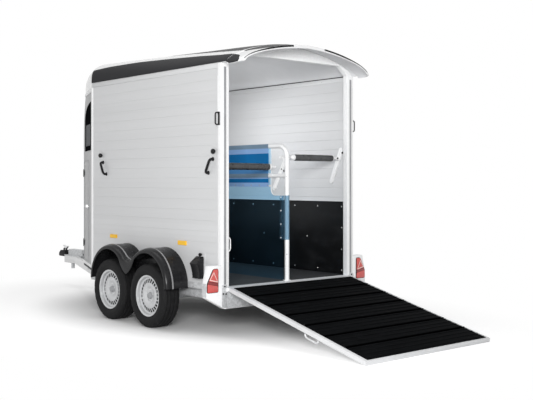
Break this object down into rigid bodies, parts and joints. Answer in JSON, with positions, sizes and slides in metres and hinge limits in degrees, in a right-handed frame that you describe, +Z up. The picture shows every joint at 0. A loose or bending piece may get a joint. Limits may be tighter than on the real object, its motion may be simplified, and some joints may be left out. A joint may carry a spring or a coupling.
{
  "type": "horse trailer",
  "caption": "Box-bodied tandem-axle animal trailer with slanted nose, overhanging domed roof, padded stall partition and a ribbed rear ramp lowered to the ground.",
  "frame": {"origin": "on the ground, under the middle of the length from coupling nose to ramp foot and on the centre line", "axes": "+X towards the rear and the ramp, +Y towards the right-hand side, +Z up"},
  "size_m": [6.3422, 2.1906, 2.74],
  "materials": {
    "galvanised_steel": "spangled hot-dip galvanised",
    "silver_panel": "satin anodised plank",
    "white_shell": "gloss moulded shell",
    "charcoal_plastic": "fine-grained moulding",
    "black_rubber": "ribbed matting",
    "tyre_rubber": "road tyre",
    "silver_wheel": "silver paint",
    "black_board": "hard-wearing board",
    "ramp_panel": "sheet on a board core",
    "deep_blue": "coated cloth",
    "pale_blue": "translucent coated cloth",
    "smoked_glass": "tinted",
    "lamp_red": "lens"
  },
  "bodies": {
    "chassis": {"sill_left": "galvanised_steel", "sill_right": "galvanised_steel", "drawbar_left": "galvanised_steel", "drawbar_right": "galvanised_steel", "rear_crossmember": "galvanised_steel", "axle_front": "galvanised_steel", "axle_rear": "galvanised_steel", "prop_socket": "galvanised_steel", "rear_frame": "galvanised_steel", "partition_frame": "galvanised_steel", "bar_bracket_front_left": "galvanised_steel", "bar_bracket_front_right": "galvanised_steel", "bar_bracket_rear_left": "galvanised_steel", "bar_bracket_rear_right": "galvanised_steel", "overrun_housing": "galvanised_steel", "side_wall_left": "silver_panel", "side_wall_right": "silver_panel", "nose_shell": "silver_panel", "roof": "white_shell", "mudguard_left": "charcoal_plastic", "mudguard_right": "charcoal_plastic", "tie_loop_front_left": "charcoal_plastic", "tie_loop_front_right": "charcoal_plastic", "tie_loop_rear_left": "charcoal_plastic", "tie_loop_rear_right": "charcoal_plastic", "wheel_chock": "charcoal_plastic", "floor_board": "black_rubber", "kick_board_left": "black_board", "kick_board_right": "black_board", "partition_panel": "deep_blue", "partition_curtain": "pale_blue", "window_left": "smoked_glass", "window_right": "smoked_glass", "lamp_left": "lamp_red", "lamp_right": "lamp_red"},
    "ramp": {"ramp_board": "ramp_panel", "ramp_mat": "black_rubber"},
    "arm_front_left": {"suspension_arm_front_left": "galvanised_steel"},
    "wheel_front_left": {"tyre_front_left": "tyre_rubber", "rim_front_left": "silver_wheel"},
    "arm_front_right": {"suspension_arm_front_right": "galvanised_steel"},
    "wheel_front_right": {"tyre_front_right": "tyre_rubber", "rim_front_right": "silver_wheel"},
    "arm_rear_left": {"suspension_arm_rear_left": "galvanised_steel"},
    "wheel_rear_left": {"tyre_rear_left": "tyre_rubber", "rim_rear_left": "silver_wheel"},
    "arm_rear_right": {"suspension_arm_rear_right": "galvanised_steel"},
    "wheel_rear_right": {"tyre_rear_right": "tyre_rubber", "rim_rear_right": "silver_wheel"},
    "rear_bar_left": {"rear_bar_left": "charcoal_plastic"},
    "rear_bar_right": {"rear_bar_right": "charcoal_plastic"},
    "breast_bar_left": {"breast_bar_left": "charcoal_plastic"},
    "breast_bar_right": {"breast_bar_right": "charcoal_plastic"},
    "entry_door": {"entry_door": "silver_panel"},
    "entry_door_latch": {"entry_door_latch": "charcoal_plastic"},
    "coupling_head": {"coupling_head": "galvanised_steel"},
    "coupling_lever": {"coupling_lever": "galvanised_steel"},
    "handbrake_lever": {"handbrake_lever": "charcoal_plastic"},
    "ramp_latch_left": {"ramp_latch_left": "charcoal_plastic"},
    "ramp_latch_right": {"ramp_latch_right": "charcoal_plastic"}
  },
  "joints": [
    {"name": "ramp_hinge", "type": "hinge", "parent": "chassis", "child": "ramp", "pos_m": [1.48137, 0, 0.428], "axis": [0, -1, 0], "range_deg": [-4, 103.7]},
    {"name": "suspension_front_left", "type": "hinge", "parent": "chassis", "child": "arm_front_left", "pos_m": [-0.27413, -0.8, 0.2747], "axis": [0, 1, 0], "range_deg": [-10, 8], "stiffness_Nm_per_rad": 4000, "springref_deg": 3.75},
    {"name": "wheel_spin_front_left", "type": "hinge", "parent": "arm_front_left", "child": "wheel_front_left", "pos_m": [-0.11913, -0.9885, 0.306], "axis": [0, 1, 0], "continuous": true},
    {"name": "suspension_front_right", "type": "hinge", "parent": "chassis", "child": "arm_front_right", "pos_m": [-0.27413, 0.8, 0.2747], "axis": [0, 1, 0], "range_deg": [-10, 8], "stiffness_Nm_per_rad": 4000, "springref_deg": 3.75},
    {"name": "wheel_spin_front_right", "type": "hinge", "parent": "arm_front_right", "child": "wheel_front_right", "pos_m": [-0.11913, 0.9885, 0.306], "axis": [0, 1, 0], "continuous": true},
    {"name": "suspension_rear_left", "type": "hinge", "parent": "chassis", "child": "arm_rear_left", "pos_m": [0.42587, -0.8, 0.2747], "axis": [0, 1, 0], "range_deg": [-10, 8], "stiffness_Nm_per_rad": 4000, "springref_deg": 2.71},
    {"name": "wheel_spin_rear_left", "type": "hinge", "parent": "arm_rear_left", "child": "wheel_rear_left", "pos_m": [0.58087, -0.9885, 0.306], "axis": [0, 1, 0], "continuous": true},
    {"name": "suspension_rear_right", "type": "hinge", "parent": "chassis", "child": "arm_rear_right", "pos_m": [0.42587, 0.8, 0.2747], "axis": [0, 1, 0], "range_deg": [-10, 8], "stiffness_Nm_per_rad": 4000, "springref_deg": 2.71},
    {"name": "wheel_spin_rear_right", "type": "hinge", "parent": "arm_rear_right", "child": "wheel_rear_right", "pos_m": [0.58087, 0.9885, 0.306], "axis": [0, 1, 0], "continuous": true},
    {"name": "rear_bar_drop_left", "type": "hinge", "parent": "chassis", "child": "rear_bar_left", "pos_m": [1.23706, -0.7827, 1.54499], "axis": [-1, 0, 0], "range_deg": [0, 85]},
    {"name": "rear_bar_drop_right", "type": "hinge", "parent": "chassis", "child": "rear_bar_right", "pos_m": [1.27834, 0.7827, 1.64033], "axis": [1, 0, 0], "range_deg": [0, 85]},
    {"name": "breast_bar_drop_left", "type": "hinge", "parent": "chassis", "child": "breast_bar_left", "pos_m": [-0.5676, -0.7827, 1.64033], "axis": [-1, 0, 0], "range_deg": [0, 85]},
    {"name": "breast_bar_drop_right", "type": "hinge", "parent": "chassis", "child": "breast_bar_right", "pos_m": [-0.5676, 0.7827, 1.64033], "axis": [1, 0, 0], "range_deg": [0, 85]},
    {"name": "entry_door_hinge", "type": "hinge", "parent": "chassis", "child": "entry_door", "pos_m": [-1.5286, -0.57997, 1], "axis": [0, 0, -1], "range_deg": [0, 100]},
    {"name": "entry_door_latch_turn", "type": "hinge", "parent": "entry_door", "child": "entry_door_latch", "pos_m": [-1.15492, -0.72829, 1.12], "axis": [-0.3827, -0.9239, 0], "range_deg": [0, 90]},
    {"name": "overrun_slide", "type": "slide", "parent": "chassis", "child": "coupling_head", "axis": [1, 0, 0], "range_m": [0, 0.07]},
    {"name": "coupling_lever_hinge", "type": "hinge", "parent": "coupling_head", "child": "coupling_lever", "pos_m": [-3.07113, 0, 0.497], "axis": [0, -1, 0], "range_deg": [0, 50]},
    {"name": "handbrake_hinge", "type": "hinge", "parent": "chassis", "child": "handbrake_lever", "pos_m": [-2.52813, 0.075, 0.47], "axis": [0, -1, 0], "range_deg": [0, 40]},
    {"name": "ramp_latch_turn_left", "type": "hinge", "parent": "chassis", "child": "ramp_latch_left", "pos_m": [1.42887, -0.8593, 1.971], "axis": [0, 0, 1], "range_deg": [0, 90]},
    {"name": "ramp_latch_turn_right", "type": "hinge", "parent": "chassis", "child": "ramp_latch_right", "pos_m": [1.42887, 0.8593, 1.971], "axis": [0, 0, -1], "range_deg": [0, 90]}
  ]
}
